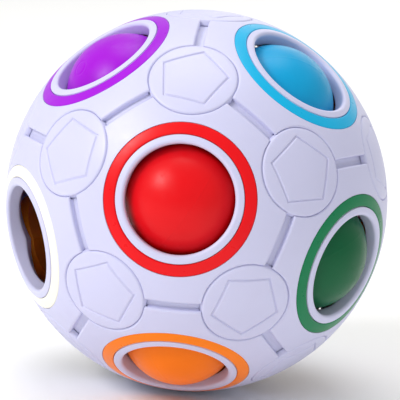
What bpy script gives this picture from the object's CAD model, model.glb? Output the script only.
"""Press-and-slide ball puzzle: the finished plastic parts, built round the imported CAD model.

Run as a script in Blender 4.5. Lengths are metres, in the CAD model's frame: the sphere's centre
is the origin and +Z passes through the cap between the three upper windows.
"""
import math
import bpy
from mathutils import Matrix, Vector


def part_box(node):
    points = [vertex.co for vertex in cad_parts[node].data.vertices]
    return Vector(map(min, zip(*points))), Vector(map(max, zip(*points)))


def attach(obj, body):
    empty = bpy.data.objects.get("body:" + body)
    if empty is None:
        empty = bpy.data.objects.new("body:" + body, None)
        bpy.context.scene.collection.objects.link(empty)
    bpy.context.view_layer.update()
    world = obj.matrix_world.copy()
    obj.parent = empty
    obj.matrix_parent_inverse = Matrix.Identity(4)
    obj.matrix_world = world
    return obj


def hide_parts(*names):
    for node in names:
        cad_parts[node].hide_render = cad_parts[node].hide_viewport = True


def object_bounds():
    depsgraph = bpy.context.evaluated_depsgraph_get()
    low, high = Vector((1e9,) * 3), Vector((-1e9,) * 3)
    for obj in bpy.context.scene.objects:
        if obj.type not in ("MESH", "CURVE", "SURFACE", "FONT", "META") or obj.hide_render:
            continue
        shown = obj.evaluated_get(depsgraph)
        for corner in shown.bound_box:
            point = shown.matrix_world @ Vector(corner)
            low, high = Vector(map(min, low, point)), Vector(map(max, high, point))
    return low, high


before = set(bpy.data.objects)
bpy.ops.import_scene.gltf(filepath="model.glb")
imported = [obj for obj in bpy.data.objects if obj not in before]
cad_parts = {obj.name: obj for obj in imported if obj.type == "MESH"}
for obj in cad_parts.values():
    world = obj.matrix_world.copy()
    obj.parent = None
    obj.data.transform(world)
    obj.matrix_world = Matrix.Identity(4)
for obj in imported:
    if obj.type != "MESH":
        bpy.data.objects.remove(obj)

from types import SimpleNamespace

import bpy
import numpy as np
from mathutils import Matrix, Vector

bl_info = {
    "name": "Press-and-slide ball puzzle",
    "version": (1, 0, 0),
    "blender": (4, 5, 0),
    "location": "View3D > Sidebar > Puzzle",
    "description": "Builds the puzzle's panels, rings, balls, caps and studio round its CAD model",
    "category": "Add Mesh",
}

CAD_BOX = [list(corner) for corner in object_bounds()]
MM = 0.001
FIFTH = math.radians(72)
# Angles from a window's axis to the middle of its panel's edge and to its corner
EDGE_ANGLE = math.atan(2 / (1 + math.sqrt(5)))
CORNER_ANGLE = math.acos(math.sqrt((5 + 2 * math.sqrt(5)) / 15))
# Fits between the parts
SEAT_PLAY = 0.3 * MM
PANEL_GAP = 0.1 * MM
FIT_GAP = 0.05 * MM
SEAT_GAP = 0.02 * MM
CAP_STEP = 0.1 * MM
# Half the seam between the floors of two panels, which all but touch
SEAM = 0.004 * MM
# How far the collar's lowest edge lies below the window's edge
COLLAR_REACH = 4.4 * MM
STUD_LENGTH = 3.2 * MM
# Small roundings of the hem and of the ring groove's edges
HEM_ROUND = 0.12 * MM
BREAK = 0.06 * MM

# Plastic colours, as sRGB
RING_HEX = {
    "yellow": "#f8c800", "purple": "#a008d0", "teal": "#00b0e0", "red": "#e60410", "pink": "#f45ca4",
    "blue": "#1040b8", "lime": "#7ccc10", "white": "#f4f1e4", "green": "#007a4c", "orange": "#ff8000",
    "brown": "#6e3410", "black": "#202024",
}
BALL_HEX = {
    "yellow": "#f0bc00", "purple": "#a000cc", "teal": "#009cd0", "red": "#de000c", "pink": "#ec5098",
    "blue": "#0c38aa", "lime": "#70c00c", "green": "#005c36", "orange": "#ff7a00",
    "brown": "#642e0c", "black": "#1c1c20",
}
SHELL_HEX = "#cbcbe9"
POST_HEX = "#f08c14"
CORE_HEX = "#e88010"
FLOOR_HEX = "#fbfbfa"

# How far each cap is turned about its own axis, in degrees
CAP_TURNS = (0, 12, 24, 36, 48, 25, 57, 60, 38, 12, 22, 3, 24, 36, 48, 0, 12, 50, 30, 24)


def middle(node):
    """Centre of a CAD node's box."""
    low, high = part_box(node)
    return (low + high) / 2


BALLS = [name for name in RING_HEX if name in BALL_HEX]
AXES = {name: middle("ball_" + name).normalized() for name in BALLS}
AXES["white"] = -AXES["pink"]
SEAT_H = middle("ball_red").length
BALL_R = (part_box("ball_red")[1].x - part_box("ball_red")[0].x) / 2
SHELL_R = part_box("cap_01")[1].z


def linear(code):
    """An sRGB hex colour as linear red, green and blue."""
    parts = [int(code[i:i + 2], 16) / 255 for i in (1, 3, 5)]
    return tuple(c / 12.92 if c <= 0.04045 else ((c + 0.055) / 1.055) ** 2.4 for c in parts)


def length(name, description, default):
    """A length property with its default in millimetres."""
    return bpy.props.FloatProperty(
        name=name, description=description, default=default * MM, min=0, precision=5, unit="LENGTH"
    )


class PuzzleSizes(bpy.types.PropertyGroup):
    """Sizes of the plastic parts."""
    window_r: length("Window radius", "Radius of a window's bore", 9.15)
    lip_w: length("Lip width", "Plain lip between the window and its ring", 1.5)
    ring_w: length("Ring width", "Width of a colour ring", 2.1)
    ring_t: length("Ring thickness", "Thickness of a colour ring", 1.0)
    panel_t: length("Panel thickness", "Thickness of a panel", 1.8)
    groove_w: length("Groove width", "Width of the groove between two panels", 1.5)
    groove_depth: length("Groove depth", "Depth of the groove", 1.1)
    cap_r: length("Cap radius", "Radius of a corner cap", 7.45)
    cap_gap: length("Cap gap", "Gap round a cap", 0.15)
    pentagon_r: length("Pentagon radius", "Circle round the engraved pentagon", 6.25)
    line_w: length("Line width", "Width of the engraved line", 0.5)
    line_depth: length("Line depth", "Depth of the engraved line", 0.25)
    stud_r: length("Stud radius", "Radius of a cap's stud", 1.1)
    lip_round: length("Lip rounding", "Rounding of the window's edge", 0.55)
    edge_round: length("Edge rounding", "Rounding of a panel's outer edge", 0.4)
    ring_round: length("Ring rounding", "Rounding of a ring's edges", 0.24)
    channel_gap: length("Channel gap", "Room round a ball in a channel", 0.25)
    seam_depth: length("Seam height", "Height of a ball's parting line", 0.035)


class PuzzleColours(bpy.types.PropertyGroup):
    """Colours of the plastics, rings and balls apart because the balls are a little deeper."""
    __annotations__ = {
        key: bpy.props.FloatVectorProperty(
            name=key.replace("_", " ").capitalize(), description="Plastic colour",
            subtype="COLOR", size=3, min=0, max=1, default=linear(code),
        )
        for key, code in [
            *(("ring_" + n, c) for n, c in RING_HEX.items()),
            *(("ball_" + n, c) for n, c in BALL_HEX.items()),
            ("shell", SHELL_HEX), ("post", POST_HEX), ("core", CORE_HEX),
        ]
    }


# ---------------------------------------------------------------- nodes and materials

def add(tree, kind, inputs=None, **settings):
    """Adds a node with its settings; an input is a value, or a socket to link from."""
    made = tree.nodes.new(kind)
    for key, value in settings.items():
        setattr(made, key, value)
    for key, value in (inputs or {}).items():
        if isinstance(value, bpy.types.NodeSocket):
            tree.links.new(value, made.inputs[key])
        else:
            made.inputs[key].default_value = value
    return made


def per_mm(size):
    """Noise scale for features of a size in millimetres, on object coordinates in metres."""
    return 1 / (size * MM)


# How much rougher a scuff is than the skin round it
SCUFF_DULLS = 0.12
MICRON = 1e-6


def moulded(name, colour, roughness, spread, grain, blotch, translucency=0.0, ior=1.53, sheen=0.5):
    """Injection-moulded plastic. The tool's polish leaves a fine grain, flow marks vary the tint by
    a little over several millimetres, dust varies the gloss, and handling leaves hairline scuffs.

    colour is linear; roughness varies by spread either way; grain is the height of the surface's
    texture in micrometres; blotch is how far the tint varies; sheen is the specular level, which
    is 0.5 for what the IOR gives, and lower where a colour has to stay deep in a white room.
    """
    material = bpy.data.materials.new(name)
    material.use_nodes = True
    tree = material.node_tree
    tree.nodes.clear()
    place = add(tree, "ShaderNodeTexCoord").outputs["Object"]
    flow = add(tree, "ShaderNodeTexNoise", {"Vector": place, "Scale": per_mm(9), "Detail": 3.0})
    dust = add(tree, "ShaderNodeTexNoise", {"Vector": place, "Scale": per_mm(1.6), "Detail": 5.0})
    # Moulding texture is about 0.05 mm in life, and is drawn at 0.35 mm so that it shows
    texture = add(tree, "ShaderNodeTexNoise", {"Vector": place, "Scale": per_mm(0.35), "Detail": 2.0})
    # Scuffs are noise, stretched about eight times along one direction
    stretched = add(
        tree, "ShaderNodeMapping",
        {"Vector": place, "Rotation": (0.5, 0.9, 0.3), "Scale": (1.0, 0.12, 1.0)},
    )
    scuff = add(
        tree, "ShaderNodeTexNoise",
        {"Vector": stretched.outputs["Vector"], "Scale": per_mm(0.5), "Detail": 4.0},
    )
    scuffed = add(
        tree, "ShaderNodeMapRange",
        {"Value": scuff.outputs["Fac"], "From Min": 0.62, "From Max": 0.74},
    )
    deep = tuple(c * (1 - blotch) for c in colour)
    pale = tuple(min(1.0, c * (1 + blotch * 0.6) + blotch * 0.02) for c in colour)
    ramp = add(tree, "ShaderNodeValToRGB", {"Fac": flow.outputs["Fac"]})
    ramp.color_ramp.elements[0].position = 0.3
    ramp.color_ramp.elements[0].color = (*deep, 1.0)
    ramp.color_ramp.elements[1].position = 0.7
    ramp.color_ramp.elements[1].color = (*pale, 1.0)
    gloss = add(
        tree, "ShaderNodeMapRange",
        {"Value": dust.outputs["Fac"], "From Min": 0.3, "From Max": 0.7,
         "To Min": roughness - spread, "To Max": roughness + spread},
    )
    rough = add(
        tree, "ShaderNodeMath",
        {0: scuffed.outputs["Result"], 1: SCUFF_DULLS, 2: gloss.outputs["Result"]},
        operation="MULTIPLY_ADD",
    )
    fine = add(
        tree, "ShaderNodeBump",
        {"Height": texture.outputs["Fac"], "Strength": 0.5, "Distance": grain * MICRON},
    )
    marks = add(
        tree, "ShaderNodeBump",
        {"Height": scuffed.outputs["Result"], "Strength": 0.5, "Distance": 9 * MICRON,
         "Normal": fine.outputs["Normal"]},
        invert=True,
    )
    waves = add(
        tree, "ShaderNodeBump",
        {"Height": flow.outputs["Fac"], "Strength": 0.4, "Distance": 60 * MICRON,
         "Normal": marks.outputs["Normal"]},
    )
    shader = add(
        tree, "ShaderNodeBsdfPrincipled",
        {"Base Color": ramp.outputs["Color"], "Roughness": rough.outputs["Value"],
         "Normal": waves.outputs["Normal"], "IOR": ior, "Specular IOR Level": sheen},
    )
    if translucency:
        shader.inputs["Subsurface Weight"].default_value = translucency
        shader.inputs["Subsurface Radius"].default_value = (1.0, 0.8, 0.7)
        shader.inputs["Subsurface Scale"].default_value = 1.2 * MM
    add(tree, "ShaderNodeOutputMaterial", {"Surface": shader.outputs["BSDF"]})
    return material


def colour_of(key):
    """A plastic's colour, as the puzzle's colours give it."""
    return tuple(getattr(bpy.context.scene.puzzle_colours, key))


def shell_plastic():
    """White ABS, moulded, for panels and caps: a cool white with a satin skin, made once."""
    name = "moulded ABS, cool white"
    return bpy.data.materials.get(name) or moulded(
        name, colour_of("shell"), roughness=0.42, spread=0.04, grain=7, blotch=0.02, translucency=0.12
    )


# ---------------------------------------------------------------- meshes

def turned(axis, spin=0.0):
    """Rotation that takes +Z to an axis with +X pointing down the sphere, after a spin about it."""
    polar = math.acos(max(-1, min(1, axis.z)))
    flat = math.hypot(axis.x, axis.y)
    azimuth = math.atan2(axis.y, axis.x) if flat > 1e-5 else 0.0
    aimed = Matrix.Rotation(azimuth, 4, "Z") @ Matrix.Rotation(polar, 4, "Y")
    return aimed @ Matrix.Rotation(spin, 4, "Z")


def grid_faces(rows, columns, close_rows):
    """Quads of a grid whose columns go round, and whose rows go round too if close_rows."""
    faces = []
    for i in range(rows if close_rows else rows - 1):
        for j in range(columns):
            a, b = i * columns, (i + 1) % rows * columns
            k = (j + 1) % columns
            faces.append((a + j, a + k, b + k, b + j))
    return faces


# Edges that bend more than this stay crisp
CREASE = math.radians(50)


def mesh_from(name, points, faces):
    """A mesh with smooth faces that point outwards."""
    mesh = bpy.data.meshes.new(name)
    mesh.from_pydata([tuple(p) for p in points], [], faces)
    mesh.validate()
    corners = np.array(points)
    volume = 0.0
    for face in faces:
        for i in range(1, len(face) - 1):
            volume += np.dot(corners[face[0]], np.cross(corners[face[i]], corners[face[i + 1]]))
    if volume < 0:
        mesh.flip_normals()
    mesh.polygons.foreach_set("use_smooth", [True] * len(mesh.polygons))
    mesh.set_sharp_from_angle(angle=CREASE)
    return mesh


def piece(name, mesh, material, body, node):
    """Puts a finished mesh in the scene in place of its CAD node."""
    made = bpy.data.objects.new(name, mesh)
    bpy.context.scene.collection.objects.link(made)
    mesh.materials.clear()
    mesh.materials.append(material)
    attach(made, body)
    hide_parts(node)
    return made


def spread(start, end, count):
    """Evenly spaced values from start to end, both included."""
    return [start + (end - start) * i / (count - 1) for i in range(count)]


def arc(centre, radius, start, end, count):
    """Points of an arc in a section's plane, from one angle to another."""
    return [
        (centre[0] + radius * math.cos(a), centre[1] + radius * math.sin(a))
        for a in spread(start, end, count)
    ]


def on_sphere(radius, r):
    """Height of a sphere's surface at a distance r from its axis."""
    return math.sqrt(radius ** 2 - r ** 2)


def polar_point(radius, angle):
    """A section's point on a sphere, at an angle from the axis."""
    return radius * math.sin(angle), radius * math.cos(angle)


def side_limit(radius, delta, inset):
    """Angle from a window's axis to its panel's side on a sphere, at delta from the side's middle."""
    across, along = math.cos(EDGE_ANGLE) * math.cos(delta), math.sin(EDGE_ANGLE)
    size = math.hypot(across, along)
    return math.atan2(along, across) - math.asin(inset / (radius * size))


def corner_limit(radius, delta, clear):
    """Angle to a circle of radius clear round a corner, at delta from the corner, or None."""
    across, along = math.sin(CORNER_ANGLE) * math.cos(delta), math.cos(CORNER_ANGLE)
    size = math.hypot(across, along)
    reach = math.sqrt(1 - (clear / radius) ** 2) / size
    return math.atan2(across, along) - math.acos(reach) if reach <= 1 else None


def outline(radius, azimuth, inset, clear):
    """Angle to a panel's outline: the nearer of its side and of the circle at its corner."""
    from_corner = (azimuth + FIFTH / 2) % FIFTH - FIFTH / 2
    from_side = azimuth % FIFTH - FIFTH / 2
    side = side_limit(radius, from_side, inset)
    corner = corner_limit(radius, from_corner, clear)
    return side if corner is None else min(side, corner)


def off_side(azimuth):
    """Azimuth from a corner, as an azimuth from the middle of the nearest side."""
    return azimuth % FIFTH - FIFTH / 2


def cylinder_roof(channel_r, r, from_side):
    """Height of a channel's round roof over where its axis meets the window's, at r and from_side."""
    side, out = r * math.sin(from_side), r * math.cos(from_side)
    return (on_sphere(channel_r, side) - out * math.sin(EDGE_ANGLE)) / math.cos(EDGE_ANGLE)


def panel_sizes(s):
    """Radii and heights that the stretches of a panel's section share."""
    d = SimpleNamespace(outer=SHELL_R, inner=SHELL_R - s.panel_t, floor=SHELL_R - s.groove_depth)
    d.channel_r = BALL_R + s.channel_gap
    d.collar_r = d.channel_r - PANEL_GAP
    d.ring_in = s.window_r + s.lip_w
    d.ring_out = d.ring_in + s.ring_w
    # A seated ball meets the window's wall where two channels meet
    rise = cylinder_roof(d.channel_r, s.window_r, FIFTH / 2)
    d.channel_h = SEAT_H + SEAT_PLAY + on_sphere(BALL_R, s.window_r) - rise
    d.base = on_sphere(d.outer, s.window_r) - COLLAR_REACH
    return d


# The hem's rounded corner: steps in and up, over its rounding
HEM_CURVE = ((0, 2), (0.3, 0.6), (1, 0.1), (2.5, 0))


def collar_hem(s, d, azimuth):
    """The collar's lower edge, which the channels' roofs cut in scallops."""
    def height(r):
        return max(d.channel_h + cylinder_roof(d.channel_r, r, off_side(azimuth)), d.base)

    radii = [(d.collar_r - step * HEM_ROUND, up * HEM_ROUND) for step, up in HEM_CURVE]
    radii += [(s.window_r + step * HEM_ROUND, up * HEM_ROUND) for step, up in reversed(HEM_CURVE)]
    return [(r, height(r) + up) for r, up in radii]


def window_lip(s, d, foot):
    """The window's wall from a foot upwards, and its rounded lip."""
    lip = s.lip_round
    centre_r = s.window_r + lip
    centre_h = on_sphere(d.outer - lip, centre_r)
    wall = [(s.window_r, z) for z in spread(foot, centre_h - 0.1 * MM, 6)[1:]]
    tilt = math.asin(centre_r / (d.outer - lip))
    return wall + arc((centre_r, centre_h), lip, math.pi, math.pi / 2 - tilt, 7)


def ring_groove(s, d):
    """The plain lip's skin, and the groove that holds the ring."""
    def skin(r):
        return math.pi / 2 - math.asin(r / d.outer)

    edge_in, edge_out = d.ring_in - BREAK, d.ring_out + BREAK
    seat = d.outer - s.ring_t - SEAT_GAP
    plain = spread(s.window_r + s.lip_round + 0.25 * MM, edge_in - BREAK, 3)
    points = [(r, on_sphere(d.outer, r)) for r in plain]
    points += arc((edge_in, on_sphere(d.outer - BREAK, edge_in)), BREAK, skin(d.ring_in), 0, 4)
    for r, lifts in ((d.ring_in, (BREAK, 0)), (d.ring_out, (0, BREAK))):
        points += [(r, on_sphere(seat, r) + lift) for lift in lifts]
    centre = (edge_out, on_sphere(d.outer - BREAK, edge_out))
    return points + arc(centre, BREAK, math.pi, skin(d.ring_out), 4)


def stepped_edge(s, d, azimuth):
    """The skin beyond the ring, the rounded edge, the groove's floor and the panel's underside."""
    groove = (s.groove_w / 2, s.cap_r + s.cap_gap)
    seam = (SEAM, s.stud_r + s.cap_gap)
    turn = s.edge_round
    start = math.asin((d.ring_out + 2 * BREAK) / d.outer)
    last = outline(d.outer, azimuth, *groove) - turn / d.outer
    points = [polar_point(d.outer, t) for t in spread(start, last - 0.1 * MM / d.outer, 8)]
    for a in spread(0, math.pi / 2, 5):
        points.append(polar_point(d.outer - turn * (1 - math.cos(a)), last + turn * math.sin(a) / d.outer))
    low = outline(d.floor, azimuth, *groove)
    under = outline(d.inner, azimuth, *seam)
    points += [
        polar_point(d.floor + BREAK, low), polar_point(d.floor, low + BREAK / d.floor),
        polar_point(d.floor, outline(d.floor, azimuth, *seam)),
    ]
    return points + [polar_point(d.inner, t) for t in spread(under, math.asin(d.collar_r / d.inner), 8)]


def panel_profile(s, azimuth):
    """Closed section of a panel at an azimuth from a corner: distances from its axis, and heights."""
    d = panel_sizes(s)
    points = collar_hem(s, d, azimuth)
    points += window_lip(s, d, points[-1][1])
    points += ring_groove(s, d)
    points += stepped_edge(s, d, azimuth)
    wall = spread(on_sphere(d.inner, d.collar_r), points[0][1], 5)[1:-1]
    return points + [(d.collar_r, z) for z in wall]


def corner_switch(s):
    """Azimuth from a corner at which a panel's outline turns from the cap's circle to its side."""
    low, high = 0.0, FIFTH / 2
    for _ in range(40):
        mid = (low + high) / 2
        corner = corner_limit(SHELL_R, mid, s.cap_r + s.cap_gap)
        if corner is not None and corner < side_limit(SHELL_R, mid - FIFTH / 2, s.groove_w / 2):
            low = mid
        else:
            high = mid
    return low


def panel_azimuths(s):
    """Azimuths from a corner: even steps, and close ones where the outline turns."""
    switch = corner_switch(s)
    near = math.radians(0.25)
    half = spread(0, switch - near, 9) + spread(switch, FIFTH / 2, 12)
    fifth = half + [FIFTH - a for a in half[-2:0:-1]]
    return [k * FIFTH + a for k in range(5) for a in fifth]


def panel_points(s):
    """Points of a panel about +Z with a corner towards +X, and its row and column counts."""
    azimuths = panel_azimuths(s)
    profiles = [panel_profile(s, a) for a in azimuths]
    rows = len(profiles[0])
    points = [
        (profiles[j][i][0] * math.cos(a), profiles[j][i][0] * math.sin(a), profiles[j][i][1])
        for i in range(rows) for j, a in enumerate(azimuths)
    ]
    return points, rows, len(azimuths)


# The engraved line's section: distance from its middle over half its width, and share of its depth
LINE_SECTION = (
    (-1.35, 0.0), (-1.1, 0.02), (-0.75, 0.35), (-0.2, 1.0),
    (0.2, 1.0), (0.75, 0.35), (1.1, 0.02), (1.35, 0.0),
)
CAP_COLUMNS = 120
CAP_RIM = 0.3 * MM
# Depth at which a cap has flared out below its rim
FLARE_DEPTH = 0.45 * MM


def cap_rings(s, angles):
    """A cap's rings from the middle outwards, as distance from the axis and depth below the skin."""
    # A pentagon's radius at an angle, over its corner's radius
    flat = [math.cos(FIFTH / 2) / math.cos(off_side(a)) for a in angles]
    width = s.line_w / 2 / math.cos(FIFTH / 2)
    middle_r = s.pentagon_r - width
    rings = [[(share * middle_r * f, 0.0) for f in flat] for share in (0.35, 0.7)]
    for offset, depth in LINE_SECTION:
        rings.append([((middle_r + offset * width) * f, depth * s.line_depth) for f in flat])
    # From the line's pentagon out to the round rim
    line_r = middle_r + LINE_SECTION[-1][0] * width
    rim_r = s.cap_r - CAP_RIM
    for share in (0.4, 0.75):
        rings.append([(line_r * f + (rim_r - line_r * f) * share, 0.0) for f in flat])
    round_rim = [
        (s.cap_r - CAP_RIM * (1 - math.sin(a)), CAP_RIM * (1 - math.cos(a)))
        for a in spread(0, math.pi / 2, 5)
    ]
    # Below its rim the cap flares and all but closes the gap round it
    thick = s.groove_depth - CAP_STEP - SEAT_GAP
    flare = s.cap_r + 0.8 * s.cap_gap
    stud = [(s.stud_r, thick), (s.stud_r, thick + STUD_LENGTH)]
    below = [(flare, FLARE_DEPTH), (flare, thick), *stud]
    return rings + [[place] * len(angles) for place in round_rim + below]


def cap_points(s):
    """Points and faces of a cap about +Z: an engraved dome with a rounded rim, and the stud below."""
    angles = [j * 2 * math.pi / CAP_COLUMNS for j in range(CAP_COLUMNS)]
    rings = cap_rings(s, angles)
    points = [(0, 0, SHELL_R)]
    for ring in rings:
        for a, (r, depth) in zip(angles, ring):
            points.append((r * math.cos(a), r * math.sin(a), on_sphere(SHELL_R - depth, r)))
    points.append((0, 0, SHELL_R - rings[-1][0][1]))
    faces = [tuple(1 + i for i in face) for face in grid_faces(len(rings), CAP_COLUMNS, False)]
    last = 1 + (len(rings) - 1) * CAP_COLUMNS
    for j in range(CAP_COLUMNS):
        k = (j + 1) % CAP_COLUMNS
        faces.append((0, 1 + k, 1 + j))
        faces.append((len(points) - 1, last + j, last + k))
    return points, faces


# ---------------------------------------------------------------- Geometry Nodes

def new_tree(name, inputs):
    """A geometry tree with named inputs, and its group input node."""
    tree = bpy.data.node_groups.new(name, "GeometryNodeTree")
    for label, kind in inputs:
        tree.interface.new_socket(label, in_out="INPUT", socket_type=kind)
    tree.interface.new_socket("Geometry", in_out="OUTPUT", socket_type="NodeSocketGeometry")
    return tree, tree.nodes.new("NodeGroupInput")


def end_tree(tree, source, geometry):
    """Ends a tree with Realize Instances, smooth faces and Set Material."""
    real = add(tree, "GeometryNodeRealizeInstances", {"Geometry": geometry})
    smooth = add(tree, "GeometryNodeSetShadeSmooth", {"Geometry": real.outputs["Geometry"]})
    coated = add(
        tree, "GeometryNodeSetMaterial",
        {"Geometry": smooth.outputs["Geometry"], "Material": source.outputs["Material"]},
    )
    add(tree, "NodeGroupOutput", {"Geometry": coated.outputs["Geometry"]})


def math_node(tree, operation, *values):
    """Adds a maths node, and gives its result's socket."""
    return add(tree, "ShaderNodeMath", dict(enumerate(values)), operation=operation).outputs["Value"]


def ring_tree():
    """A ring: a four-cornered section with rounded edges, swept round a circle."""
    tree, source = new_tree("swept_ring", [
        ("Inner Radius", "NodeSocketFloat"), ("Outer Radius", "NodeSocketFloat"),
        ("Sphere Radius", "NodeSocketFloat"), ("Thickness", "NodeSocketFloat"),
        ("Rounding", "NodeSocketFloat"), ("Material", "NodeSocketMaterial"),
    ])
    inner, outer = source.outputs["Inner Radius"], source.outputs["Outer Radius"]
    top = source.outputs["Sphere Radius"]
    bottom = math_node(tree, "SUBTRACT", top, source.outputs["Thickness"])
    mean = math_node(tree, "MULTIPLY", math_node(tree, "ADD", inner, outer), 0.5)

    def corner(r, sphere):
        """A corner of the section, at a distance from the axis and on a sphere."""
        squares = [math_node(tree, "MULTIPLY", value, value) for value in (sphere, r)]
        height = math_node(tree, "SQRT", math_node(tree, "SUBTRACT", *squares))
        # The sweep lays the section's Y along -Z
        return add(
            tree, "ShaderNodeCombineXYZ",
            {"X": math_node(tree, "SUBTRACT", r, mean), "Y": math_node(tree, "MULTIPLY", height, -1.0)},
        ).outputs["Vector"]

    section = add(tree, "GeometryNodeCurvePrimitiveQuadrilateral", mode="POINTS")
    corners = ((inner, bottom), (outer, bottom), (outer, top), (inner, top))
    for i, (r, sphere) in enumerate(corners, start=1):
        tree.links.new(corner(r, sphere), section.inputs["Point %d" % i])
    rounded = fillet(tree, section.outputs["Curve"], source.outputs["Rounding"])
    path = add(tree, "GeometryNodeCurvePrimitiveCircle", {"Resolution": 144, "Radius": mean}, mode="RADIUS")
    swept = add(
        tree, "GeometryNodeCurveToMesh",
        {"Curve": path.outputs["Curve"], "Profile Curve": rounded.outputs["Curve"], "Fill Caps": False},
    )
    end_tree(tree, source, swept.outputs["Mesh"])
    return tree


def fillet(tree, curve, radius):
    """Rounds a curve's corners with six steps each."""
    made = add(
        tree, "GeometryNodeFilletCurve", {"Curve": curve, "Radius": radius, "Limit Radius": True}
    )
    if "Mode" in made.inputs:
        made.inputs["Mode"].default_value = "Poly"
    else:
        made.mode = "POLY"
    made.inputs["Count"].default_value = 6
    return made


def ball_tree():
    """A ball: a sphere with a raised parting line round its middle and a sunk ring where it was fed."""
    tree, source = new_tree("moulded_ball", [
        ("Radius", "NodeSocketFloat"), ("Seam Height", "NodeSocketFloat"),
        ("Seam Width", "NodeSocketFloat"), ("Gate Radius", "NodeSocketFloat"),
        ("Gate Width", "NodeSocketFloat"), ("Material", "NodeSocketMaterial"),
    ])
    sphere = add(
        tree, "GeometryNodeMeshUVSphere",
        {"Segments": 160, "Rings": 180, "Radius": source.outputs["Radius"]},
    )
    place = add(tree, "GeometryNodeInputPosition").outputs["Position"]
    parts = add(tree, "ShaderNodeSeparateXYZ", {"Vector": place})

    def hump(distance, width):
        """1 at no distance, falling smoothly to 0 at width."""
        ratio = math_node(tree, "ABSOLUTE", math_node(tree, "DIVIDE", distance, width))
        share = math_node(tree, "MINIMUM", ratio, 1.0)
        wave = math_node(tree, "COSINE", math_node(tree, "MULTIPLY", share, math.pi))
        return math_node(tree, "MULTIPLY_ADD", wave, 0.5, 0.5)

    rise = source.outputs["Seam Height"]
    seam = math_node(tree, "MULTIPLY", hump(parts.outputs["Z"], source.outputs["Seam Width"]), rise)
    squares = [math_node(tree, "MULTIPLY", parts.outputs[axis], parts.outputs[axis]) for axis in "XY"]
    across = math_node(tree, "SQRT", math_node(tree, "ADD", *squares))
    from_gate = math_node(tree, "SUBTRACT", across, source.outputs["Gate Radius"])
    sunk = math_node(tree, "MULTIPLY", hump(from_gate, source.outputs["Gate Width"]), rise)
    # The feed mark is on the upper half only, and twice as deep as the parting line is high
    upper = math_node(tree, "GREATER_THAN", parts.outputs["Z"], 0.0)
    sunk = math_node(tree, "MULTIPLY", math_node(tree, "MULTIPLY", sunk, upper), 2.0)
    height = math_node(tree, "SUBTRACT", seam, sunk)
    outwards = add(tree, "ShaderNodeVectorMath", {0: place}, operation="NORMALIZE").outputs["Vector"]
    offset = add(
        tree, "ShaderNodeVectorMath", {0: outwards, "Scale": height}, operation="SCALE"
    ).outputs["Vector"]
    moved = add(tree, "GeometryNodeSetPosition", {"Geometry": sphere.outputs["Mesh"], "Offset": offset})
    end_tree(tree, source, moved.outputs["Geometry"])
    return tree


def grown(name, tree, values, transform):
    """The mesh that a geometry tree gives for some input values, moved to its place."""
    carrier = bpy.data.objects.new(name + "_tree", bpy.data.meshes.new(name + "_tree"))
    bpy.context.scene.collection.objects.link(carrier)
    modifier = carrier.modifiers.new("tree", "NODES")
    modifier.node_group = tree
    for item in tree.interface.items_tree:
        if item.in_out == "INPUT" and item.name in values:
            modifier[item.identifier] = values[item.name]
    graph = bpy.context.evaluated_depsgraph_get()
    mesh = bpy.data.meshes.new_from_object(carrier.evaluated_get(graph))
    carrier.modifiers.remove(modifier)
    bpy.data.objects.remove(carrier)
    if not mesh.polygons:
        raise RuntimeError("the tree " + tree.name + " gave no faces")
    mesh.name = name
    mesh.transform(transform)
    return mesh


# ---------------------------------------------------------------- operators

class PUZZLE_OT_panels(bpy.types.Operator):
    """Build the window panels: stepped five-sided sheets, each with a lip, a ring groove and a collar"""
    bl_idname = "puzzle.panels"
    bl_label = "Window panels"

    def execute(self, context):
        points, rows, columns = panel_points(context.scene.puzzle_sizes)
        faces = grid_faces(rows, columns, True)
        for name in RING_HEX:
            # Upper panels have a corner that points up the sphere, lower ones down it
            axis = AXES[name]
            spin = math.pi if axis.z > 0 else 0.0
            place = np.array(turned(axis, spin).to_3x3())
            mesh = mesh_from("panel_" + name, np.array(points) @ place.T, faces)
            piece("skin_" + name, mesh, shell_plastic(), "shell", "panel_" + name)
        return {"FINISHED"}


class PUZZLE_OT_rings(bpy.types.Operator):
    """Build the colour rings that are pressed in round the windows"""
    bl_idname = "puzzle.rings"
    bl_label = "Colour rings"

    def execute(self, context):
        s = context.scene.puzzle_sizes
        tree = ring_tree()
        for name in RING_HEX:
            # ABS from a polished tool: tighter highlights than the balls'
            material = moulded(
                "moulded gloss ABS, %s ring" % name, colour_of("ring_" + name),
                roughness=0.32, spread=0.05, grain=4, blotch=0.04, sheen=0.2,
            )
            values = {
                "Inner Radius": s.window_r + s.lip_w + FIT_GAP,
                "Outer Radius": s.window_r + s.lip_w + s.ring_w - FIT_GAP,
                "Sphere Radius": SHELL_R, "Thickness": s.ring_t, "Rounding": s.ring_round,
                "Material": material,
            }
            mesh = grown("ring_" + name, tree, values, turned(AXES[name]))
            piece("inlay_" + name, mesh, material, "shell", "ring_" + name)
        return {"FINISHED"}


# A ball's parting line and the ring-shaped mark where it was fed
SEAM_WIDTH = 0.14 * MM
GATE_RADIUS = 1.3 * MM
GATE_WIDTH = 0.28 * MM
# Where each ball's feed mark lies, as the angle from its window's axis and the turn about it, in degrees
GATES = {
    "purple": (27, 10), "red": (104, 60), "teal": (88, 140), "green": (120, 200), "orange": (96, 300),
    "yellow": (70, 20), "pink": (84, 100), "blue": (110, 170), "lime": (95, 250), "brown": (76, 330),
    "black": (88, 40),
}


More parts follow.
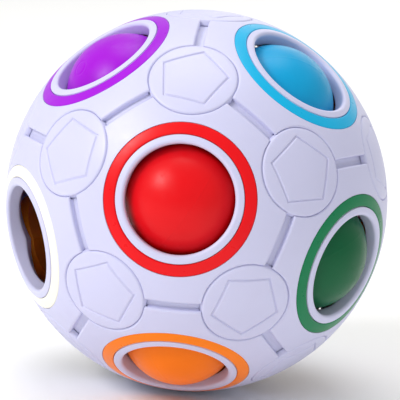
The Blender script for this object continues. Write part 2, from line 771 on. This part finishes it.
class PUZZLE_OT_balls(bpy.types.Operator):
    """Build the loose balls, each with its parting line and feed mark"""
    bl_idname = "puzzle.balls"
    bl_label = "Loose balls"

    def execute(self, context):
        s = context.scene.puzzle_sizes
        tree = ball_tree()
        for name in BALLS:
            # ABS from a satin tool, scuffed by use: a soft, broad highlight
            material = moulded(
                "moulded satin ABS, %s ball" % name, colour_of("ball_" + name),
                roughness=0.36, spread=0.06, grain=5, blotch=0.05, sheen=0.2,
            )
            values = {
                "Radius": BALL_R - s.seam_depth, "Seam Height": s.seam_depth, "Seam Width": SEAM_WIDTH,
                "Gate Radius": GATE_RADIUS, "Gate Width": GATE_WIDTH, "Material": material,
            }
            tilt, turn = (math.radians(a) for a in GATES[name])
            lean = Matrix.Rotation(turn, 4, "Z") @ Matrix.Rotation(tilt, 4, "Y")
            place = Matrix.Translation(middle("ball_" + name)) @ turned(AXES[name]) @ lean
            mesh = grown("ball_" + name, tree, values, place)
            piece("loose_" + name, mesh, material, "ball_" + name, "ball_" + name)
        return {"FINISHED"}


class PUZZLE_OT_caps(bpy.types.Operator):
    """Build the round corner caps with their engraved pentagons"""
    bl_idname = "puzzle.caps"
    bl_label = "Corner caps"

    def execute(self, context):
        points, faces = cap_points(context.scene.puzzle_sizes)
        names = sorted(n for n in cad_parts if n.startswith("cap_"))
        trios = [
            (a + b + c).normalized()
            for i, a in enumerate(AXES.values()) for j, b in enumerate(AXES.values())
            for k, c in enumerate(AXES.values())
            if i < j < k and a.dot(b) > 0 and b.dot(c) > 0 and a.dot(c) > 0
        ]
        if len(trios) != len(names):
            raise RuntimeError("%d corners for %d caps" % (len(trios), len(names)))
        for name, degrees in zip(names, CAP_TURNS):
            centre = middle(name).normalized()
            axis = max(trios, key=centre.dot)
            place = np.array(turned(axis, math.radians(degrees)).to_3x3())
            mesh = mesh_from(name, np.array(points) @ place.T, faces)
            piece("cover_" + name[4:], mesh, shell_plastic(), "shell", name)
        return {"FINISHED"}


class PUZZLE_OT_inside(bpy.types.Operator):
    """Finish the posts and the core, which keep their CAD shape"""
    bl_idname = "puzzle.inside"
    bl_label = "Posts and core"

    def execute(self, context):
        # Dyed polypropylene: a waxy amber that lets a little light in
        amber = moulded(
            "moulded polypropylene, amber brown", colour_of("post"),
            roughness=0.45, spread=0.06, grain=12, blotch=0.12, translucency=0.1, ior=1.49,
        )
        # The same resin, duller and without the waxy depth
        orange = moulded(
            "moulded polypropylene, orange core", colour_of("core"),
            roughness=0.5, spread=0.05, grain=10, blotch=0.1, ior=1.49,
        )
        for name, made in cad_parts.items():
            if name.startswith(("posts_", "core_")):
                made.data.materials.clear()
                made.data.materials.append(amber if name.startswith("posts_") else orange)
        return {"FINISHED"}


def soft_light(name, position, aim, size, watts, colour):
    """A square softbox of a size, in metres, at a position, facing a point."""
    lamp = bpy.data.lights.new(name, "AREA")
    lamp.shape = "SQUARE"
    lamp.size = size
    lamp.energy = watts
    lamp.color = colour
    made = bpy.data.objects.new(name, lamp)
    bpy.context.scene.collection.objects.link(made)
    made.location = position
    made.rotation_euler = (Vector(aim) - Vector(position)).to_track_quat("-Z", "Y").to_euler()
    return made


def studio_paper():
    """Uncoated paper, rolled matt: a pale floor with no highlight of its own."""
    paper = bpy.data.materials.new("matt studio paper")
    paper.use_nodes = True
    tree = paper.node_tree
    tree.nodes.clear()
    place = add(tree, "ShaderNodeTexCoord").outputs["Object"]
    fibre = add(tree, "ShaderNodeTexNoise", {"Vector": place, "Scale": per_mm(1.2), "Detail": 4.0})
    bump = add(
        tree, "ShaderNodeBump",
        {"Height": fibre.outputs["Fac"], "Strength": 0.2, "Distance": 20 * MICRON},
    )
    shader = add(
        tree, "ShaderNodeBsdfPrincipled",
        {"Base Color": (*linear(FLOOR_HEX), 1.0), "Roughness": 0.9, "Normal": bump.outputs["Normal"]},
    )
    add(tree, "ShaderNodeOutputMaterial", {"Surface": shader.outputs["BSDF"]})
    return paper


def add_floor(height):
    """The floor, a square sheet of paper."""
    half = FLOOR_SIZE / 2
    mesh = bpy.data.meshes.new("floor")
    corners = [(x, y, height) for x, y in ((-half, -half), (half, -half), (half, half), (-half, half))]
    mesh.from_pydata(corners, [], [(0, 1, 2, 3)])
    mesh.materials.append(studio_paper())
    floor = bpy.data.objects.new("floor", mesh)
    bpy.context.scene.collection.objects.link(floor)


def add_room():
    """A pale room that lights the puzzle from all round."""
    world = bpy.data.worlds.new("pale room")
    world.use_nodes = True
    tree = world.node_tree
    tree.nodes.clear()
    sky = add(tree, "ShaderNodeBackground", {"Color": (1.0, 1.0, 0.985, 1.0), "Strength": 0.62})
    add(tree, "ShaderNodeOutputWorld", {"Surface": sky.outputs["Background"]})
    bpy.context.scene.world = world
    bpy.context.scene.view_settings.view_transform = "Standard"


def add_camera(target):
    """The camera, a little above and to the right of the red window, leaning a little to the left."""
    azimuth, elevation, lean = (math.radians(a) for a in (CAM_AZIMUTH, CAM_ELEVATION, CAM_LEAN))
    level = math.cos(elevation)
    back = Vector((math.sin(azimuth) * level, -math.cos(azimuth) * level, math.sin(elevation)))
    right = Vector((0, 0, 1)).cross(back).normalized()
    leaning = back.cross(right) * math.cos(lean) - right * math.sin(lean)
    turn = Matrix((leaning.cross(back), leaning, back)).transposed().to_4x4()
    cam = bpy.data.cameras.new("camera")
    cam.lens, cam.sensor_width = CAM_LENS, 36.0
    cam.shift_x, cam.shift_y = 0.0086, 0.001
    cam.clip_start, cam.clip_end = 0.01, 20.0
    made = bpy.data.objects.new("camera", cam)
    bpy.context.scene.collection.objects.link(made)
    made.matrix_world = Matrix.Translation(target + back * CAM_DISTANCE) @ turn
    bpy.context.scene.camera = made


# The floor's side, its drop below the puzzle and the camera's distance are in metres, the angles
# in degrees and the lens in millimetres
FLOOR_SIZE = 6.0
FLOOR_DROP = 0.02 * MM
CAM_DISTANCE = 0.3789
CAM_AZIMUTH, CAM_ELEVATION, CAM_LEAN = 5.03, 10.89, 3.93
CAM_LENS = 190.7


class PUZZLE_OT_stage(bpy.types.Operator):
    """Build the floor, the softboxes and the camera"""
    bl_idname = "puzzle.stage"
    bl_label = "Studio"

    def execute(self, context):
        low, high = (Vector(c) for c in CAD_BOX)
        centre = (low + high) / 2
        add_floor(low.z - FLOOR_DROP)
        soft_light("key", (-0.62, -0.5, 0.6), centre, 0.35, 5.3, (1.0, 0.99, 1.0))
        soft_light("top", (-0.05, 0.15, 0.8), centre, 0.5, 2.2, (1.0, 1.0, 1.0))
        soft_light("rim", (0.2, 0.75, 0.35), centre, 0.6, 0.9, (1.0, 1.0, 1.0))
        add_room()
        add_camera(centre)
        return {"FINISHED"}


class PUZZLE_PT_build(bpy.types.Panel):
    """Sidebar panel with the builders, in the order in which they run"""
    bl_label = "Ball puzzle"
    bl_idname = "PUZZLE_PT_build"
    bl_space_type = "VIEW_3D"
    bl_region_type = "UI"
    bl_category = "Puzzle"

    def draw(self, context):
        for builder in BUILDERS:
            self.layout.operator(builder.bl_idname)
        for name in PuzzleSizes.__annotations__:
            self.layout.prop(context.scene.puzzle_sizes, name)


BUILDERS = (
    PUZZLE_OT_panels, PUZZLE_OT_rings, PUZZLE_OT_balls, PUZZLE_OT_caps, PUZZLE_OT_inside, PUZZLE_OT_stage,
)
CLASSES = (PuzzleSizes, PuzzleColours, *BUILDERS, PUZZLE_PT_build)


def register():
    for cls in CLASSES:
        bpy.utils.register_class(cls)
    bpy.types.Scene.puzzle_sizes = bpy.props.PointerProperty(type=PuzzleSizes)
    bpy.types.Scene.puzzle_colours = bpy.props.PointerProperty(type=PuzzleColours)


def unregister():
    del bpy.types.Scene.puzzle_colours
    del bpy.types.Scene.puzzle_sizes
    for cls in reversed(CLASSES):
        bpy.utils.unregister_class(cls)


def main():
    register()
    bpy.ops.puzzle.panels()
    bpy.ops.puzzle.rings()
    bpy.ops.puzzle.balls()
    bpy.ops.puzzle.caps()
    bpy.ops.puzzle.inside()
    bpy.ops.puzzle.stage()


if __name__ == "__main__":
    main()
